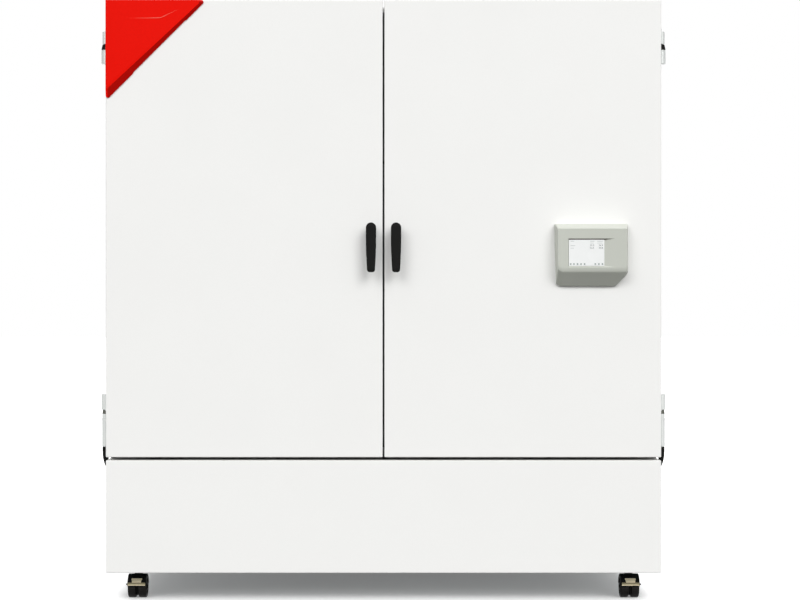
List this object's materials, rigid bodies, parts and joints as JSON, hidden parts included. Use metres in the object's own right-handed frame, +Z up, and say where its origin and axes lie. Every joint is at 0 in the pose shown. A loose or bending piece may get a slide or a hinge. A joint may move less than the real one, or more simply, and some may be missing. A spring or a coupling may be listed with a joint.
{
  "type": "refrigerated incubator",
  "caption": "Free-standing refrigerated incubator cabinet on twin-wheel casters, with hinged outer doors, lever handles, a door-mounted controller and a stainless chamber with shelves.",
  "frame": {"origin": "on the floor, at the middle of the overall footprint", "axes": "+Z up, front towards -Y, the controller's side at +X"},
  "size_m": [1.29, 0.882, 1.3565],
  "materials": {
    "coated_steel": "satin",
    "stainless_steel": "satin",
    "zinc_steel": "satin",
    "bright_steel": "polished",
    "hinge_metal": "satin",
    "black_plastic": "matte",
    "tread": "matte",
    "seal_rubber": "matte",
    "red_plastic": "gloss",
    "grey_plastic": "satin",
    "screen_glass": "gloss",
    "foam": "matte",
    "black_enamel": "gloss",
    "aluminium": "satin"
  },
  "bodies": {
    "cabinet": {"outer_housing": "coated_steel", "plinth_panel": "coated_steel", "rear_panel": "coated_steel", "front_frame": "coated_steel", "mains_inlet": "black_plastic", "insulation_body": "foam", "inner_chamber": "stainless_steel", "shelf_rack_left": "stainless_steel", "shelf_rack_right": "stainless_steel", "shelf_lower": "stainless_steel", "shelf_middle": "stainless_steel", "shelf_upper": "stainless_steel", "air_duct_panel": "stainless_steel", "heater_rod": "stainless_steel", "fan_motor": "black_enamel", "evaporator": "aluminium", "base_frame": "zinc_steel", "control_box": "zinc_steel", "compressor": "black_enamel", "condenser": "aluminium", "hinge_bracket_upper_left": "hinge_metal", "hinge_bracket_upper_right": "hinge_metal", "hinge_bracket_lower_left": "hinge_metal", "hinge_bracket_lower_right": "hinge_metal", "hinge_collar_left": "black_plastic", "hinge_collar_right": "black_plastic", "hinge_tail_left": "black_plastic", "hinge_tail_right": "black_plastic"},
    "door_left": {"door_shell_left": "coated_steel", "door_insulation_left": "foam", "door_liner_left": "stainless_steel", "door_gasket_left": "seal_rubber", "hinge_leaf_upper_left": "hinge_metal", "hinge_leaf_lower_left": "hinge_metal", "lock_case_left": "zinc_steel", "corner_cover": "red_plastic"},
    "door_right": {"door_shell_right": "coated_steel", "door_insulation_right": "foam", "door_liner_right": "stainless_steel", "door_gasket_right": "seal_rubber", "hinge_leaf_upper_right": "hinge_metal", "hinge_leaf_lower_right": "hinge_metal", "lock_case_right": "zinc_steel", "controller_housing": "grey_plastic", "controller_screen": "screen_glass"},
    "handle_left": {"door_handle_left": "black_plastic"},
    "handle_right": {"door_handle_right": "black_plastic"},
    "circulation_fan": {"circulation_fan": "aluminium"},
    "condenser_fan": {"condenser_fan": "black_plastic"},
    "caster_front_left": {"caster_fork_front_left": "black_plastic"},
    "caster_front_right": {"caster_fork_front_right": "black_plastic"},
    "caster_rear_left": {"caster_fork_rear_left": "black_plastic"},
    "caster_rear_right": {"caster_fork_rear_right": "black_plastic"},
    "wheels_front_left": {"caster_wheels_front_left": "tread"},
    "wheels_front_right": {"caster_wheels_front_right": "tread"},
    "wheels_rear_left": {"caster_wheels_rear_left": "tread"},
    "wheels_rear_right": {"caster_wheels_rear_right": "tread"},
    "pedal_front_left": {"brake_pedal_front_left": "bright_steel"},
    "pedal_front_right": {"brake_pedal_front_right": "bright_steel"}
  },
  "joints": [
    {"name": "door_left_swing", "type": "hinge", "parent": "cabinet", "child": "door_left", "pos_m": [-0.6355, -0.328, 0.3275], "axis": [0, 0, -1], "range_deg": [0, 180]},
    {"name": "door_right_swing", "type": "hinge", "parent": "cabinet", "child": "door_right", "pos_m": [0.6355, -0.328, 0.3275], "axis": [0, 0, 1], "range_deg": [0, 180]},
    {"name": "handle_left_turn", "type": "hinge", "parent": "door_left", "child": "handle_left", "pos_m": [-0.028, -0.399, 0.843], "axis": [0, 1, 0], "range_deg": [0, 90]},
    {"name": "handle_right_turn", "type": "hinge", "parent": "door_right", "child": "handle_right", "pos_m": [0.028, -0.399, 0.843], "axis": [0, -1, 0], "range_deg": [0, 90]},
    {"name": "circulation_fan_spin", "type": "hinge", "parent": "cabinet", "child": "circulation_fan", "pos_m": [0, 0.3267, 1.0425], "axis": [0, 1, 0], "continuous": true},
    {"name": "condenser_fan_spin", "type": "hinge", "parent": "cabinet", "child": "condenser_fan", "pos_m": [0.23, 0.3375, 0.1711], "axis": [0, 1, 0], "continuous": true},
    {"name": "swivel_front_left", "type": "hinge", "parent": "cabinet", "child": "caster_front_left", "pos_m": [-0.563, -0.296, 0.0703], "axis": [0, 0, 1], "continuous": true},
    {"name": "swivel_front_right", "type": "hinge", "parent": "cabinet", "child": "caster_front_right", "pos_m": [0.563, -0.296, 0.0703], "axis": [0, 0, 1], "continuous": true},
    {"name": "swivel_rear_left", "type": "hinge", "parent": "cabinet", "child": "caster_rear_left", "pos_m": [-0.563, 0.361, 0.0703], "axis": [0, 0, 1], "continuous": true},
    {"name": "swivel_rear_right", "type": "hinge", "parent": "cabinet", "child": "caster_rear_right", "pos_m": [0.563, 0.361, 0.0703], "axis": [0, 0, 1], "continuous": true},
    {"name": "roll_front_left", "type": "hinge", "parent": "caster_front_left", "child": "wheels_front_left", "pos_m": [-0.563, -0.314, 0.02469], "axis": [1, 0, 0], "continuous": true},
    {"name": "roll_front_right", "type": "hinge", "parent": "caster_front_right", "child": "wheels_front_right", "pos_m": [0.563, -0.314, 0.02469], "axis": [1, 0, 0], "continuous": true},
    {"name": "roll_rear_left", "type": "hinge", "parent": "caster_rear_left", "child": "wheels_rear_left", "pos_m": [-0.563, 0.343, 0.02469], "axis": [1, 0, 0], "continuous": true},
    {"name": "roll_rear_right", "type": "hinge", "parent": "caster_rear_right", "child": "wheels_rear_right", "pos_m": [0.563, 0.343, 0.02469], "axis": [1, 0, 0], "continuous": true},
    {"name": "pedal_front_left_lift", "type": "hinge", "parent": "caster_front_left", "child": "pedal_front_left", "pos_m": [-0.563, -0.33564, 0.04633], "axis": [-1, 0, 0], "range_deg": [0, 20]},
    {"name": "pedal_front_right_lift", "type": "hinge", "parent": "caster_front_right", "child": "pedal_front_right", "pos_m": [0.563, -0.33564, 0.04633], "axis": [-1, 0, 0], "range_deg": [0, 20]}
  ]
}
